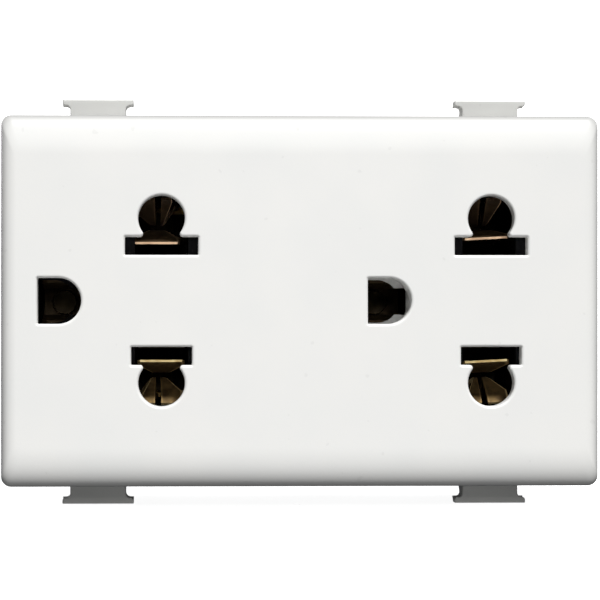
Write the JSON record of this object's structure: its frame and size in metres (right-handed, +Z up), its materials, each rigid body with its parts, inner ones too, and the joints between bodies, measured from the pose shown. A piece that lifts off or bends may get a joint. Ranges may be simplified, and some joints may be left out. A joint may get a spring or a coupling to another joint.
{
  "type": "duplex wall outlet",
  "caption": "Snap-in duplex wall outlet with a white face, openings for flat blades or round pins, earth holes, spring latches and screw terminals at the back.",
  "frame": {"origin": "middle of the seat plane, where the cover's rim bears on the support frame", "axes": "+X right as seen from the front, +Z up, -Y out of the face towards the plug"},
  "size_m": [0.0692, 0.034, 0.0482],
  "materials": {
    "cover_plastic": "smooth satin-gloss white moulding",
    "carrier_plastic": "matte black moulding",
    "body_plastic": "finely textured light grey moulding",
    "latch_plastic": "satin light grey moulding",
    "bus_brass": "rolled strip, lightly tarnished",
    "contact_brass": "stamped sheet, bright at the cut edges",
    "clamp_brass": "stamped plate",
    "rivet_metal": "upset heads",
    "nut_steel": "zinc plated",
    "terminal_screw_steel": "zinc plated",
    "housing_screw_steel": "zinc plated"
  },
  "bodies": {
    "outlet": {"front_cover": "cover_plastic", "contact_carrier": "carrier_plastic", "rear_body": "body_plastic", "line_bus": "bus_brass", "neutral_bus": "bus_brass", "earth_bus": "bus_brass", "line_contact_left": "contact_brass", "line_contact_right": "contact_brass", "neutral_contact_left": "contact_brass", "neutral_contact_right": "contact_brass", "earth_contact_left": "contact_brass", "earth_contact_right": "contact_brass", "contact_rivets": "rivet_metal", "terminal_nuts": "nut_steel", "housing_screws": "housing_screw_steel"},
    "upper_left_latch": {"upper_left_latch": "latch_plastic"},
    "upper_right_latch": {"upper_right_latch": "latch_plastic"},
    "lower_left_latch": {"lower_left_latch": "latch_plastic"},
    "lower_right_latch": {"lower_right_latch": "latch_plastic"},
    "line_clamp": {"line_clamp_plate": "clamp_brass"},
    "line_screw": {"line_terminal_screw": "terminal_screw_steel"},
    "neutral_clamp": {"neutral_clamp_plate": "clamp_brass"},
    "neutral_screw": {"neutral_terminal_screw": "terminal_screw_steel"},
    "earth_clamp": {"earth_clamp_plate": "clamp_brass"},
    "earth_screw": {"earth_terminal_screw": "terminal_screw_steel"}
  },
  "joints": [
    {"name": "upper_left_latch_flex", "type": "hinge", "parent": "outlet", "child": "upper_left_latch", "pos_m": [-0.02365, 0.0176, 0.0184], "axis": [1, 0, 0], "range_deg": [0, 12.5], "stiffness_Nm_per_rad": 0.05},
    {"name": "upper_right_latch_flex", "type": "hinge", "parent": "outlet", "child": "upper_right_latch", "pos_m": [0.02325, 0.0176, 0.0184], "axis": [1, 0, 0], "range_deg": [0, 12.5], "stiffness_Nm_per_rad": 0.05},
    {"name": "lower_left_latch_flex", "type": "hinge", "parent": "outlet", "child": "lower_left_latch", "pos_m": [-0.02365, 0.0176, -0.0184], "axis": [-1, 0, 0], "range_deg": [0, 12.5], "stiffness_Nm_per_rad": 0.05},
    {"name": "lower_right_latch_flex", "type": "hinge", "parent": "outlet", "child": "lower_right_latch", "pos_m": [0.02325, 0.0176, -0.0184], "axis": [-1, 0, 0], "range_deg": [0, 12.5], "stiffness_Nm_per_rad": 0.05},
    {"name": "line_clamp_slide", "type": "slide", "parent": "outlet", "child": "line_clamp", "axis": [0, -1, 0], "range_m": [0, 0.0024]},
    {"name": "line_screw_turn", "type": "hinge", "parent": "line_clamp", "child": "line_screw", "pos_m": [0.00297, 0.0194, -0.0095], "axis": [0, -1, 0], "range_deg": [0, 1440]},
    {"name": "neutral_clamp_slide", "type": "slide", "parent": "outlet", "child": "neutral_clamp", "axis": [0, -1, 0], "range_m": [0, 0.0024]},
    {"name": "neutral_screw_turn", "type": "hinge", "parent": "neutral_clamp", "child": "neutral_screw", "pos_m": [0.00297, 0.0194, 0.0095], "axis": [0, -1, 0], "range_deg": [0, 1440]},
    {"name": "earth_clamp_slide", "type": "slide", "parent": "outlet", "child": "earth_clamp", "axis": [0, -1, 0], "range_m": [0, 0.0024]},
    {"name": "earth_screw_turn", "type": "hinge", "parent": "earth_clamp", "child": "earth_screw", "pos_m": [0.0268, 0.0194, 0], "axis": [0, -1, 0], "range_deg": [0, 1440]}
  ],
  "couplings": [
    {"joint": "line_screw_turn", "follows": "line_clamp_slide", "rad_per_m": 10472},
    {"joint": "neutral_screw_turn", "follows": "neutral_clamp_slide", "rad_per_m": 10472},
    {"joint": "earth_screw_turn", "follows": "earth_clamp_slide", "rad_per_m": 10472}
  ]
}
